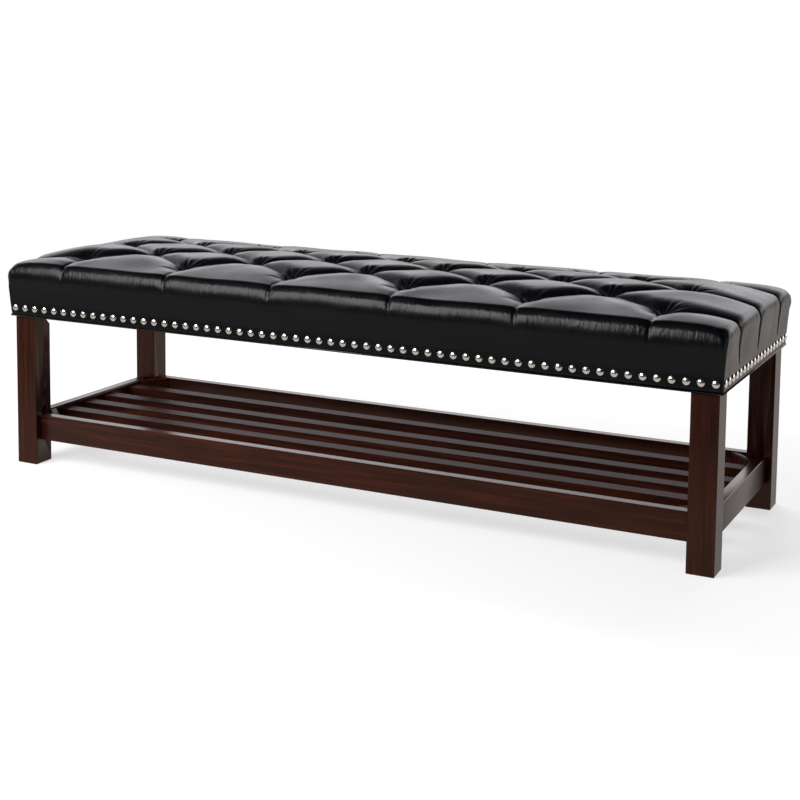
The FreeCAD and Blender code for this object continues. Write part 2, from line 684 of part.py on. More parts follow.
class TuftedCover:
    """The deep-tufted leather cover with its soft filling, hollow below for the foam and the frame."""

    # How far the cutting shapes of pleats and tufts stand above the crown, so that they cut through it
    PLEAT_LEAD = 0.8
    PLEAT_FLARE = 12.0
    TUFT_LEAD = 6.0

    def __init__(self):
        """Work out the two outlines whose common shape is the untufted seat."""
        half_length = size("seat_length") / 2
        half_width = size("seat_width") / 2
        shoulder_start = half_length + size("side_bulge") - size("shoulder_radius")
        self.lengthwise = Crown(half_length, shoulder_start - size("end_crown_length"))
        self.crosswise = Crown(half_width, 0)
        self.rows = self.tuft_rows()

    def surface(self, x, y):
        """The point of the untufted top above a spot."""
        return Vector(x, y, min(self.lengthwise.level(x), self.crosswise.level(y)))

    def tuft_rows(self):
        """The tufts' places row by row: long rows and, between them, rows with one tuft less."""
        pitch = size("tuft_pitch")
        row_count = int(size("tuft_rows"))
        rows = []
        for row in range(row_count):
            count = int(size("tufts_in_long_row")) - row % 2
            y = (row - (row_count - 1) / 2) * size("tuft_row_pitch")
            rows.append([self.surface((step - (count - 1) / 2) * pitch, y) for step in range(count)])
        return rows

    def block(self):
        """The crowned, untufted seat."""
        long_face = Rotation(ALONG_X, 90)
        end_face = Rotation(Vector(1, 1, 1), 120)
        along = self.lengthwise.solid(long_face, 4 * self.crosswise.wide_half)
        return along.common(self.crosswise.solid(end_face, 4 * self.lengthwise.wide_half))

    def pleat(self, start, end):
        """The groove of a folded pleat, whose flanks meet in a sharp valley."""
        half_width = size("pleat_half_width")
        depth = size("pleat_depth")
        rim = Vector(half_width + self.PLEAT_FLARE, self.PLEAT_FLARE, 0)
        lip = Vector(half_width, 0, 0)
        fold = Vector(FOLD_BREADTH * half_width, -FOLD_DEPTH * depth, 0)
        flank = [rim, lip, fold]
        corners = [*flank, Vector(0, -depth, 0), *[mirrored(corner) for corner in reversed(flank)]]
        face = Part.Face(Part.makePolygon(corners + corners[:1]))
        bearing = math.degrees(math.atan2(end.y - start.y, end.x - start.x))
        upright = Rotation(UP, bearing).multiply(Rotation(Vector(1, 1, 1), 120))
        face.Placement = Placement(start + UP * self.PLEAT_LEAD, upright)
        return face.extrude(end - start)

    def pleats(self):
        """Diagonal pleats from tuft to tuft, and pleats from the outer tufts over the edges."""
        grooves = []
        for row, next_row in zip(self.rows, self.rows[1:]):
            for tuft in row:
                near = [other for other in next_row if abs(other.x - tuft.x) < size("tuft_pitch")]
                grooves += [self.pleat(tuft, other) for other in near]
        fall_level = self.crosswise.wide_level + size("pleat_fall")
        for sign, row in ((FRONT, self.rows[0]), (BACK, self.rows[-1])):
            edge_y = sign * (self.crosswise.wide_half + self.PLEAT_LEAD)
            grooves += [self.pleat(tuft, Vector(tuft.x, edge_y, fall_level)) for tuft in row]
        for sign, place_in_row in ((LEFT, 0), (RIGHT, -1)):
            edge_x = sign * (self.lengthwise.wide_half + self.PLEAT_LEAD)
            outer = [row[place_in_row] for row in self.rows[::2]]
            grooves += [self.pleat(tuft, Vector(edge_x, tuft.y, fall_level)) for tuft in outer]
        return grooves

    def funnels(self):
        """The drawn-down funnel of each tuft."""
        radius = size("tuft_radius")
        depth = size("tuft_depth")
        fold_radius = FOLD_BREADTH * radius
        fold_level = -FOLD_DEPTH * depth
        flare = (radius - fold_radius) / -fold_level * self.TUFT_LEAD
        rings = [
            (size("tuft_eye_radius"), -depth),
            (fold_radius, fold_level),
            (radius + flare, self.TUFT_LEAD),
        ]
        funnels = []
        for tuft in itertools.chain.from_iterable(self.rows):
            funnel = faceted(TUFT_FACETS, rings)
            funnel.translate(tuft)
            funnels.append(funnel)
        return funnels

    def hollow(self):
        """The room inside for the foam and the frame, with the soft clearance all round."""
        gap = size("soft_clearance")
        half_x = evaluate(FRAME_HALF_X) + gap
        half_y = evaluate(FRAME_HALF_Y) + gap
        bottom = evaluate(HEM_LEVEL) - size("welt_diameter")
        top = evaluate(FOAM_BOTTOM) + size("foam_thickness") + gap
        return Part.makeBox(2 * half_x, 2 * half_y, top - bottom, Vector(-half_x, -half_y, bottom))

    def shape(self):
        """The finished cover."""
        hollow_block = self.block().cut(self.hollow())
        return hollow_block.cut(self.pleats() + self.funnels())


def make_all():
    """Make every sub-part of the bench."""
    for corner, signs in CORNERS.items():
        make_leg(corner, *signs)
        make_brace(corner, *signs)
        make_corner_block(corner, *signs)
    for side, sign in SIDES.items():
        make_side_rail(side, sign)
        make_welt(f"welt_{side}", ALONG_X, sign)
    for end, sign in ENDS.items():
        make_end_rail(end, sign)
        make_welt(f"welt_{end}", ALONG_Y, sign)
    for number, front in enumerate(slat_fronts(), start=1):
        make_slat(number, front)
    make_hanger_bolts()
    make_bolt_washers()
    make_bolt_nuts()
    make_seat_frame()
    make_foam()
    make_dust_cover()
    make_nails()
    make_shaped("tufted_cover", TuftedCover().shape())
    doc.recompute()


def check():
    """Stop if any object is in error or any sub-part lacks a sound shape."""
    for thing in doc.Objects:
        if {"Invalid", "Error"} & set(thing.State):
            raise RuntimeError(f"{thing.Label} is in error: {thing.State}")
    for thing in sub_parts:
        if thing.Shape.isNull() or not thing.Shape.isValid() or not thing.Shape.Solids:
            raise RuntimeError(f"{thing.Label} has no sound shape")


def export():
    """Write each sub-part to its own file."""
    os.makedirs("parts", exist_ok=True)
    for thing in sub_parts:
        thing.Shape.exportStep(f"parts/{thing.Label}.step")


make_all()
check()
export()
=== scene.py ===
import logging
import math
from dataclasses import dataclass, field
from enum import Enum

import bmesh
import bpy
import numpy as np
from mathutils import Matrix, Vector


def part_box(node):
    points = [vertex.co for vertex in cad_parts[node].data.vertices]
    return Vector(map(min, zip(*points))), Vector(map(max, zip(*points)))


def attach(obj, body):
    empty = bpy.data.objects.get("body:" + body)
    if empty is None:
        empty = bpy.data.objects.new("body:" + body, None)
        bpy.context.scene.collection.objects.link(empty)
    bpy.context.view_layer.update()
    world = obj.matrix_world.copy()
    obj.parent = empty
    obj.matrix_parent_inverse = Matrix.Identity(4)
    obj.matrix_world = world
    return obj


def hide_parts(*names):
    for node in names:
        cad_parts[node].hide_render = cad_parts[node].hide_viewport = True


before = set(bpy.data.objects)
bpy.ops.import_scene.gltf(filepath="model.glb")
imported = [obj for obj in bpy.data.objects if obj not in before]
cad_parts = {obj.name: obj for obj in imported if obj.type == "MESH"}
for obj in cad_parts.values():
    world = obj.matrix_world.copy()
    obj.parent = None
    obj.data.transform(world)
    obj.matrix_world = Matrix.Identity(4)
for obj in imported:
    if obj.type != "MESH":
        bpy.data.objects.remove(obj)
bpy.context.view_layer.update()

LOG = logging.getLogger("upholstered_bench")
MM = 0.001
BODY = "root"
TURN = 6.28  # a full turn, as the seeded draws take it


class Axis(Enum):
    """The way the grain of a wooden piece runs."""

    X = "X"
    Y = "Y"
    Z = "Z"


def linear(hex_colour: str) -> tuple[float, float, float, float]:
    """Turn an sRGB hex colour to linear.

    Args:
        hex_colour: Six hex digits after a hash sign.

    Returns:
        Red, green, blue and an alpha of 1.
    """
    parts = [int(hex_colour[i : i + 2], 16) / 255 for i in (1, 3, 5)]
    return tuple(p / 12.92 if p <= 0.04045 else ((p + 0.055) / 1.055) ** 2.4 for p in parts) + (1.0,)


def add_node(
    tree: bpy.types.NodeTree, kind: str, inputs: dict | None = None, **settings: object
) -> bpy.types.Node:
    """Add one shader node.

    Args:
        tree: The node tree it goes into.
        kind: The node's type name.
        inputs: Value, source socket or source node, which gives its first output, for each input.
        **settings: The node's own properties.

    Returns:
        The new node.
    """
    made = tree.nodes.new(kind)
    for name, value in settings.items():
        setattr(made, name, value)
    for key, value in (inputs or {}).items():
        if isinstance(value, bpy.types.Node):
            value = value.outputs[0]
        if isinstance(value, bpy.types.NodeSocket):
            tree.links.new(value, made.inputs[key])
        else:
            made.inputs[key].default_value = value
    return made


def new_material(name: str) -> tuple[bpy.types.Material, bpy.types.NodeTree]:
    """Make an empty node material.

    Args:
        name: The material's name.

    Returns:
        The material and its node tree, which has no nodes yet.
    """
    material = bpy.data.materials.new(name)
    material.use_nodes = True
    material.node_tree.nodes.clear()
    return material, material.node_tree


def colour_ramp(
    tree: bpy.types.NodeTree, factor: bpy.types.NodeSocket, stops: list[tuple[float, tuple]]
) -> bpy.types.NodeSocket:
    """Add a colour ramp.

    Args:
        tree: The node tree.
        factor: What the ramp reads.
        stops: Pairs of position and linear colour.

    Returns:
        The ramp's colour output.
    """
    ramp = add_node(tree, "ShaderNodeValToRGB", {"Fac": factor})
    elements = ramp.color_ramp.elements
    while len(elements) < len(stops):
        elements.new(0.5)
    for element, (position, colour) in zip(elements, stops):
        element.position = position
        element.color = colour
    return ramp.outputs["Color"]


def placed(shell: bmesh.types.BMesh, name: str, rounded: bool = True) -> bpy.types.Object:
    """Put a modelled shell into the scene, with its place in its mesh.

    Args:
        shell: The shell, which is freed.
        name: The new object's name.
        rounded: Whether its small faces are shaded smooth.

    Returns:
        The new object.
    """
    mesh = bpy.data.meshes.new(name)
    shell.to_mesh(mesh)
    shell.free()
    if rounded:
        mesh.polygons.foreach_set("use_smooth", [len(face.vertices) < 5 for face in mesh.polygons])
    made = bpy.data.objects.new(name, mesh)
    bpy.context.scene.collection.objects.link(made)
    return made


def by_ray(
    tree: bpy.types.NodeTree, rest: bpy.types.Node, mirrored: bpy.types.Node, seen: bpy.types.Node
) -> bpy.types.Node:
    """Show one shader to the camera, one in reflections and one to the rest of the light.

    Args:
        tree: The node tree.
        rest: What lights the bench.
        mirrored: What the bench's gloss reflects.
        seen: What the camera sees.

    Returns:
        The shader that holds all three.
    """
    path = add_node(tree, "ShaderNodeLightPath")
    unseen = add_node(tree, "ShaderNodeMixShader", {0: path.outputs["Is Glossy Ray"], 1: rest, 2: mirrored})
    return add_node(tree, "ShaderNodeMixShader", {0: path.outputs["Is Camera Ray"], 1: unseen, 2: seen})


@dataclass(frozen=True)
class Leather:
    """Corrected-grain leather, pigmented black and plated: a fine pebble under a semi-gloss lacquer.

    The real pebble is too fine to show, so it is drawn about twice as coarse.
    """

    name: str = "corrected_grain_leather"
    colour: str = "#050609"
    roughness: float = 0.3
    gloss: float = 1.32
    pebble: float = 1.3 * MM
    pleated: bool = True

    def build(self) -> bpy.types.Material:
        """Build the material.

        Returns:
            The material.
        """
        material, tree = new_material(self.name)
        place = add_node(tree, "ShaderNodeTexCoord")
        pebbles = add_node(
            tree,
            "ShaderNodeTexVoronoi",
            {"Vector": place.outputs["Object"], "Scale": 1 / self.pebble},
            feature="DISTANCE_TO_EDGE",
        )
        blotches = add_node(
            tree,
            "ShaderNodeTexNoise",
            {"Vector": place.outputs["Object"], "Scale": 1 / (60 * MM), "Detail": 4.0},
        )
        grain_bump = add_node(
            tree, "ShaderNodeBump", {"Height": pebbles, "Strength": 0.08, "Distance": 0.2 * MM}
        )
        normal = grain_bump.outputs["Normal"]
        if self.pleated:
            normal = self.crease_bump(tree, place, normal)
        rough = add_node(
            tree,
            "ShaderNodeMapRange",
            {
                "Value": blotches,
                "From Min": 0.3,
                "From Max": 0.7,
                "To Min": self.roughness - 0.05,
                "To Max": self.roughness + 0.05,
            },
        )
        shader = add_node(
            tree,
            "ShaderNodeBsdfPrincipled",
            {"Base Color": linear(self.colour), "Roughness": rough, "IOR": self.gloss, "Normal": normal},
        )
        add_node(tree, "ShaderNodeOutputMaterial", {"Surface": shader})
        return material

    def crease_bump(
        self, tree: bpy.types.NodeTree, place: bpy.types.Node, normal: bpy.types.NodeSocket
    ) -> bpy.types.NodeSocket:
        """Add the fine creases that fan out from each tuft.

        The cover's UV map holds each point's offset from its nearest tuft, in metres.

        Args:
            tree: The material's node tree.
            place: Its texture coordinates.
            normal: The normal so far.

        Returns:
            The creased normal.
        """
        offset = add_node(tree, "ShaderNodeSeparateXYZ", {"Vector": place.outputs["UV"]})
        angle = add_node(
            tree, "ShaderNodeMath", {0: offset.outputs["Y"], 1: offset.outputs["X"]}, operation="ARCTAN2"
        )
        reach = add_node(tree, "ShaderNodeVectorMath", {0: place.outputs["UV"]}, operation="LENGTH")
        around = add_node(tree, "ShaderNodeCombineXYZ", {"X": angle, "Y": reach.outputs["Value"], "Z": 0.0})
        spokes = add_node(tree, "ShaderNodeMapping", {"Vector": around, "Scale": (7.0, 14.0, 1.0)})
        spread = add_node(tree, "ShaderNodeTexNoise", {"Vector": spokes, "Scale": 1.0, "Detail": 2.0})
        fade = add_node(
            tree,
            "ShaderNodeMapRange",
            {
                "Value": reach.outputs["Value"],
                "From Min": 12 * MM,
                "From Max": 52 * MM,
                "To Min": 1.0,
                "To Max": 0.0,
            },
            interpolation_type="SMOOTHSTEP",
        )
        height = add_node(tree, "ShaderNodeMath", {0: spread, 1: fade}, operation="MULTIPLY")
        bump = add_node(
            tree,
            "ShaderNodeBump",
            {"Height": height, "Strength": 0.7, "Distance": 4.0 * MM, "Normal": normal},
        )
        return self.pull_bump(tree, place, bump.outputs["Normal"])

    def pull_bump(
        self, tree: bpy.types.NodeTree, place: bpy.types.Node, normal: bpy.types.NodeSocket
    ) -> bpy.types.NodeSocket:
        """Add the fine upright creases where the leather is pulled down over the top edge.

        Args:
            tree: The material's node tree.
            place: Its texture coordinates.
            normal: The normal so far.

        Returns:
            The creased normal.
        """
        along = add_node(
            tree, "ShaderNodeMapping", {"Vector": place.outputs["Object"], "Scale": (1.0, 1.0, 0.16)}
        )
        creases = add_node(
            tree,
            "ShaderNodeTexNoise",
            {"Vector": along, "Scale": 1 / (9 * MM), "Detail": 3.0, "Distortion": 0.6},
        )
        level = add_node(tree, "ShaderNodeSeparateXYZ", {"Vector": place.outputs["Object"]})
        below = add_node(
            tree,
            "ShaderNodeMapRange",
            {
                "Value": level.outputs["Z"],
                "From Min": 375 * MM,
                "From Max": 415 * MM,
                "To Min": 0.15,
                "To Max": 1.0,
            },
            interpolation_type="SMOOTHSTEP",
        )
        above = add_node(
            tree,
            "ShaderNodeMapRange",
            {
                "Value": level.outputs["Z"],
                "From Min": 424 * MM,
                "From Max": 434 * MM,
                "To Min": 1.0,
                "To Max": 0.0,
            },
            interpolation_type="SMOOTHSTEP",
        )
        band = add_node(tree, "ShaderNodeMath", {0: below, 1: above}, operation="MULTIPLY")
        height = add_node(tree, "ShaderNodeMath", {0: creases, 1: band}, operation="MULTIPLY")
        bump = add_node(
            tree,
            "ShaderNodeBump",
            {"Height": height, "Strength": 0.5, "Distance": 2.5 * MM, "Normal": normal},
        )
        return bump.outputs["Normal"]


@dataclass(frozen=True)
class StainedWood:
    """Rubberwood, stained a near-black brown and sprayed with satin lacquer, with red-brown streaks."""

    name: str = "stained_rubberwood"
    dark: str = "#200b06"
    mid: str = "#2f120a"
    warm: str = "#441b11"
    sheen: tuple[float, float, float, float] = (1.0, 0.62, 0.5, 1.0)
    roughness: float = 0.28
    gloss: float = 1.45
    streak: float = 7 * MM

    def build(self, grain: Axis) -> bpy.types.Material:
        """Build the material.

        Args:
            grain: The way the grain runs.

        Returns:
            The material.
        """
        material, tree = new_material(f"{self.name}_{grain.value.lower()}")
        stretch = [1.0, 1.0, 1.0]
        stretch["XYZ".index(grain.value)] = 0.045
        place = add_node(tree, "ShaderNodeTexCoord")
        along = add_node(
            tree, "ShaderNodeMapping", {"Vector": place.outputs["Object"], "Scale": tuple(stretch)}
        )
        streaks = add_node(
            tree,
            "ShaderNodeTexNoise",
            {"Vector": along, "Scale": 1 / self.streak, "Detail": 6.0, "Distortion": 0.4},
        )
        pores = add_node(
            tree, "ShaderNodeTexNoise", {"Vector": along, "Scale": 1 / (1.1 * MM), "Detail": 2.0}
        )
        colour = colour_ramp(
            tree,
            streaks.outputs["Fac"],
            [(0.33, linear(self.dark)), (0.52, linear(self.mid)), (0.72, linear(self.warm))],
        )
        pore_shade = add_node(
            tree,
            "ShaderNodeMapRange",
            {"Value": pores, "From Min": 0.3, "From Max": 0.55, "To Min": 0.75, "To Max": 1.0},
        )
        shaded = add_node(
            tree,
            "ShaderNodeMix",
            {"Factor": 1.0, "A": colour, "B": pore_shade},
            data_type="RGBA",
            blend_type="MULTIPLY",
        )
        bump = add_node(tree, "ShaderNodeBump", {"Height": pores, "Strength": 0.12, "Distance": 0.15 * MM})
        shader = add_node(
            tree,
            "ShaderNodeBsdfPrincipled",
            {
                "Base Color": shaded.outputs["Result"],
                "Roughness": self.roughness,
                "IOR": self.gloss,
                "Specular Tint": self.sheen,
                "Normal": bump,
            },
        )
        add_node(tree, "ShaderNodeOutputMaterial", {"Surface": shader})
        return material


@dataclass(frozen=True)
class Nickel:
    """Bright nickel plate on stamped steel nail heads: a warm mirror with faint handling marks."""

    name: str = "bright_nickel_plate"
    colour: str = "#f4eee2"
    roughness: float = 0.2

    def build(self) -> bpy.types.Material:
        """Build the material.

        Returns:
            The material.
        """
        material, tree = new_material(self.name)
        place = add_node(tree, "ShaderNodeTexCoord")
        marks = add_node(
            tree,
            "ShaderNodeTexNoise",
            {"Vector": place.outputs["Object"], "Scale": 1 / (3 * MM), "Detail": 3.0},
        )
        rough = add_node(
            tree,
            "ShaderNodeMapRange",
            {"Value": marks, "To Min": self.roughness - 0.04, "To Max": self.roughness + 0.06},
        )
        shader = add_node(
            tree,
            "ShaderNodeBsdfPrincipled",
            {"Base Color": linear(self.colour), "Metallic": 1.0, "Roughness": rough},
        )
        add_node(tree, "ShaderNodeOutputMaterial", {"Surface": shader})
        return material


@dataclass(frozen=True)
class Plain:
    """A mottled finish of a hidden piece: sawn timber, plywood, foam, lining cloth or zinc-plated steel."""

    name: str
    light: str
    dark: str
    patch: float
    roughness: float
    metallic: float = 0.0
    stretch: tuple[float, float, float] = (1.0, 1.0, 1.0)

    def build(self) -> bpy.types.Material:
        """Build the material.

        Returns:
            The material.
        """
        material, tree = new_material(self.name)
        place = add_node(tree, "ShaderNodeTexCoord")
        along = add_node(
            tree, "ShaderNodeMapping", {"Vector": place.outputs["Object"], "Scale": self.stretch}
        )
        mottle = add_node(
            tree, "ShaderNodeTexNoise", {"Vector": along, "Scale": 1 / self.patch, "Detail": 5.0}
        )
        colour = colour_ramp(
            tree, mottle.outputs["Fac"], [(0.3, linear(self.dark)), (0.7, linear(self.light))]
        )
        bump = add_node(tree, "ShaderNodeBump", {"Height": mottle, "Strength": 0.2, "Distance": 0.3 * MM})
        shader = add_node(
            tree,
            "ShaderNodeBsdfPrincipled",
            {"Base Color": colour, "Metallic": self.metallic, "Roughness": self.roughness, "Normal": bump},
        )
        add_node(tree, "ShaderNodeOutputMaterial", {"Surface": shader})
        return material


@dataclass
class EdgeProfile:
    """The seat's outline in one direction, followed by its length from the middle of the top to the hem.

    The top is a low arc. It turns down through a tight bend and then an easy one to the widest level, and
    goes straight from there to the nailed band and down to the hem.
    """

    wide_half: float
    flat_half: float
    band_half: float
    top: float
    wide_level: float
    band_level: float
    hem: float
    tight: float
    easy: float
    shoulder: float = 22 * MM
    meeting: float = math.radians(38)
    offsets: np.ndarray = field(init=False)
    levels: np.ndarray = field(init=False)
    lengths: np.ndarray = field(init=False)
    rim: float = field(init=False)
    full: float = field(init=False)

    def __post_init__(self) -> None:
        """Lay out the outline as closely spaced points and their distances along it."""
        drop = self.top - self.wide_level
        reach = self.wide_half - self.shoulder - self.flat_half
        radius = (reach**2 / (drop - self.shoulder) + self.shoulder + drop) / 2
        centre = (self.flat_half, self.top - radius)
        lean = math.atan2(self.wide_level - centre[1], reach)
        crown = np.linspace(math.pi / 2, lean, 200)
        edge = (centre[0] + radius * math.cos(lean), centre[1] + radius * math.sin(lean))
        tight_turn = np.linspace(lean, self.meeting, 100)
        easy_turn = np.linspace(self.meeting, 0, 101)[1:]
        tight_x = edge[0] + self.tight * (np.cos(tight_turn) - math.cos(lean))
        tight_z = edge[1] + self.tight * (np.sin(tight_turn) - math.sin(lean))
        easy_x = tight_x[-1] + self.easy * (np.cos(easy_turn) - math.cos(self.meeting))
        easy_z = tight_z[-1] + self.easy * (np.sin(easy_turn) - math.sin(self.meeting))
        offsets = [[0.0], centre[0] + radius * np.cos(crown), tight_x, easy_x]
        levels = [[self.top], centre[1] + radius * np.sin(crown), tight_z, easy_z]
        self.offsets = np.concatenate([*offsets, [self.band_half, self.band_half]])
        self.levels = np.concatenate([*levels, [self.band_level, self.hem]])
        steps = np.hypot(np.diff(self.offsets), np.diff(self.levels))
        self.lengths = np.concatenate([[0.0], np.cumsum(steps)])
        self.rim = float(self.lengths[len(crown) + len(tight_turn)])
        self.full = float(self.lengths[-1])

    def offset(self, length: np.ndarray) -> np.ndarray:
        """The signed distance from the middle at a signed length along the outline."""
        return np.sign(length) * np.interp(np.abs(length), self.lengths, self.offsets)

    def level(self, length: np.ndarray) -> np.ndarray:
        """The height at a signed length along the outline."""
        return np.interp(np.abs(length), self.lengths, self.levels)


@dataclass(frozen=True)
class Pleat:
    """One fold in the leather: a valley along a line, with a slit at its bottom and one steeper wall.

    The lip says which side is the steep one, or 0 for neither. A fold that runs out over an edge narrows to
    the share end_width, and keeps about the share at_edge of its depth until it fades out at its end.
    """

    start: np.ndarray
    end: np.ndarray
    width: float
    lip: int = 0
    at_edge: float = 1.0
    end_width: float = 1.0
    steep: float = 0.6
    fall: float = 2.4
    taper: float = 0.7

    def profile(self, spot: np.ndarray, slit_width: float) -> tuple[np.ndarray, np.ndarray]:
        """Say how strongly the fold draws points in, and how far they lie in its slit.

        Args:
            spot: Points as lengths along the two outlines.
            slit_width: Half the slit's width.

        Returns:
            The draw and the share of the slit's depth, both from 0 to 1.
        """
        way = self.end - self.start
        length = float(np.hypot(*way))
        way = way / length
        gap = spot - self.start
        share = np.clip(gap @ way / length, 0, 1)
        beside = gap - np.outer(share * length, way)
        distance = np.hypot(*beside.T)
        side = np.sign(way[0] * beside[:, 1] - way[1] * beside[:, 0]) * self.lip
        width = self.width * (1 - (1 - self.end_width) * share**self.taper)
        width = np.where(side > 0, self.steep * width, width)
        draw = (1 - np.clip(distance / width, 0, 1)) ** self.fall
        slit = np.exp(-((distance / slit_width) ** 2))
        if self.end_width >= 1:
            return draw, slit
        draw_left = np.interp(share, [0, 0.35, 0.7, 1], [1, 0.25 + 0.75 * self.at_edge, self.at_edge, 0])
        slit_left = np.interp(share, [0, 0.5, 0.85, 1], [1, self.at_edge + 0.2, self.at_edge + 0.2, 0])
        return draw * draw_left, slit * slit_left


@dataclass
class TuftedCover:
    """The tufted leather cover: a crowned pad, drawn down by rows of tufts, with pleats between them.

    A point of the leather is named by two lengths, along the long outline and across, along the short one.
    """

    pitch: float = 252 * MM
    row_pitch: float = 82 * MM
    long_row: int = 6
    rows: int = 5
    cells: int = 48
    side_rows: int = 30
    side_bulge: float = 6.5 * MM
    end_crown: float = 150 * MM
    bulge_height: float = 88 * MM
    band_height: float = 26 * MM
    long_bends: tuple[float, float] = (16 * MM, 28 * MM)
    cross_bends: tuple[float, float] = (12 * MM, 55 * MM)
    corner_levels: tuple[float, float] = (400 * MM, 430 * MM)
    corner_radii: tuple[float, float, float] = (5 * MM, 6 * MM, 15 * MM)
    clearance: float = 0.3 * MM
    tuft_depth: float = 21 * MM
    tuft_radius: float = 13 * MM
    pleat_depth: float = 6.5 * MM
    pleat_width: float = 62 * MM
    slit_depth: float = 5.5 * MM
    slit_width: float = 3.0 * MM
    side_fall: float = 46 * MM
    end_fall: float = 104 * MM
    end_drifts: tuple[float, float, float] = (-28 * MM, 2 * MM, 2 * MM)
    pucker: float = 2.5 * MM
    pucker_reach: float = 9 * MM
    wrinkle_height: float = 0.6 * MM
    lump_height: float = 0.4 * MM
    creased: float = 58 * MM
    puff: float = 4 * MM
    seed: int = 7
    hem: float = field(init=False)
    long_edge: EdgeProfile = field(init=False)
    cross_edge: EdgeProfile = field(init=False)
    tuft_rows: list[np.ndarray] = field(init=False)
    tufts: np.ndarray = field(init=False)

    def __post_init__(self) -> None:
        """Read the cover's box and set up its outlines and tufts."""
        low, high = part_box("tufted_cover")
        self.hem = low.z
        levels = (high.z, low.z + self.bulge_height, low.z + self.band_height, low.z)
        flat = high.x - EdgeProfile.shoulder - self.end_crown
        self.long_edge = EdgeProfile(high.x, flat, high.x - self.side_bulge, *levels, *self.long_bends)
        self.cross_edge = EdgeProfile(high.y, 0.0, high.y - self.side_bulge, *levels, *self.cross_bends)
        self.tuft_rows = []
        for row in range(self.rows):
            count = self.long_row - row % 2
            along = (np.arange(count) - (count - 1) / 2) * self.pitch
            across = (row - (self.rows - 1) / 2) * self.row_pitch
            self.tuft_rows.append(np.column_stack([along, np.full(count, across)]))
        self.tufts = np.vstack(self.tuft_rows)

    def lattice(self) -> tuple[np.ndarray, np.ndarray]:
        """Space the top's grid lines so that tufts fall on crossings.

        Returns:
            The lengths along the long outline and along the short one.
        """
        lines = []
        for step, rim in (
            (self.pitch / 2 / self.cells, self.long_edge.rim),
            (self.row_pitch / self.cells, self.cross_edge.rim),
        ):
            inner = np.arange(1, int(rim / step - 0.4) + 1) * step
            half = np.concatenate([inner, [rim]])
            lines.append(np.concatenate([-half[::-1], [0.0], half]))
        return lines[0], lines[1]

    def base(self, along: np.ndarray, across: np.ndarray) -> np.ndarray:
        """Lay out the untufted seat's surface.

        Args:
            along: Lengths along the long outline.
            across: Lengths along the short outline.

        Returns:
            One point a row.
        """
        drop_x = self.long_edge.top - self.long_edge.level(along)
        drop_y = self.cross_edge.top - self.cross_edge.level(across)
        drop = np.minimum((drop_x**3 + drop_y**3) ** (1 / 3), self.long_edge.top - self.hem)
        level = self.long_edge.top - drop
        return self.round_corners(
            np.column_stack([self.long_edge.offset(along), self.cross_edge.offset(across), level])
        )

    def round_corners(self, points: np.ndarray) -> np.ndarray:
        """Round the seat's corners as seen from above, softly at the top and tightly down the side.

        Args:
            points: The seat's points, one a row.

        Returns:
            The points with those near a corner drawn in.
        """
        reach = np.interp(points[:, 2], [self.hem, *self.corner_levels], self.corner_radii)
        over = []
        for axis, edge in enumerate((self.long_edge, self.cross_edge)):
            samples = np.linspace(0, 1, 400) * (edge.full - edge.rim) + edge.rim
            half = np.interp(points[:, 2], edge.level(samples)[::-1], edge.offset(samples)[::-1])
            over.append(np.clip((np.abs(points[:, axis]) - (half - reach)) / reach, 0, 1))
        rounded = points.copy()
        for axis in (0, 1):
            pull = over[axis] * (1 - np.sqrt(1 - over[1 - axis] ** 2 / 2)) * reach
            rounded[:, axis] -= np.sign(points[:, axis]) * pull
        return rounded

    def pleats(self) -> list[Pleat]:
        """List every pleat.

        Returns:
            The pleats between two tufts, then those from the outer tufts over the edges.
        """
        found = []
        for row, next_row in zip(self.tuft_rows, self.tuft_rows[1:]):
            for tuft in row:
                for other in next_row:
                    if abs(other[0] - tuft[0]) < self.pitch:
                        lip = -1 if other[0] < tuft[0] else 1
                        found.append(Pleat(tuft, other, self.pleat_width, lip=lip))
        for sign, row in ((-1, self.tuft_rows[0]), (1, self.tuft_rows[-1])):
            for number, tuft in enumerate(row):
                drift = (8 + 6 * math.sin(2.3 * number)) * MM
                end = np.array([tuft[0] + drift, sign * (self.cross_edge.rim + self.side_fall)])
                found.append(Pleat(tuft, end, self.pleat_width, at_edge=0.2, end_width=0.35))
        for sign, place in ((-1, 0), (1, -1)):
            for row, drift in zip(self.tuft_rows[::2], self.end_drifts):
                tuft = row[place]
                end = np.array([sign * (self.long_edge.rim + self.end_fall), tuft[1] - sign * drift])
                found.append(Pleat(tuft, end, self.pleat_width, at_edge=0.75, end_width=0.5))
        return found

    def depth(self, along: np.ndarray, across: np.ndarray) -> np.ndarray:
        """Say how far tufts and pleats draw the surface in. Free leather swells out a little.

        Args:
            along: Lengths along the long outline.
            across: Lengths along the short outline.

        Returns:
            Each point's depth, below 0 where the leather swells.
        """
        spot = np.column_stack([along, across])
        free = np.ones(len(spot))
        slit = np.zeros(len(spot))
        for pleat in self.pleats():
            draw, cut = pleat.profile(spot, self.slit_width)
            free *= 1 - draw
            slit = np.maximum(slit, cut)
        pull = np.zeros(len(spot))
        for tuft in self.tufts:
            radius = np.hypot(*(spot - tuft).T)
            pull = np.maximum(pull, np.exp(-((radius / self.tuft_radius) ** 1.25)))
        corner = np.hypot(np.abs(along) - self.long_edge.rim, np.abs(across) - self.cross_edge.rim)
        pucker = self.pucker * np.exp(-((corner / self.pucker_reach) ** 2))
        valley = (self.pleat_depth + self.puff) * (1 - free) - self.puff
        return valley + (self.tuft_depth - self.pleat_depth) * pull + self.slit_depth * slit + pucker

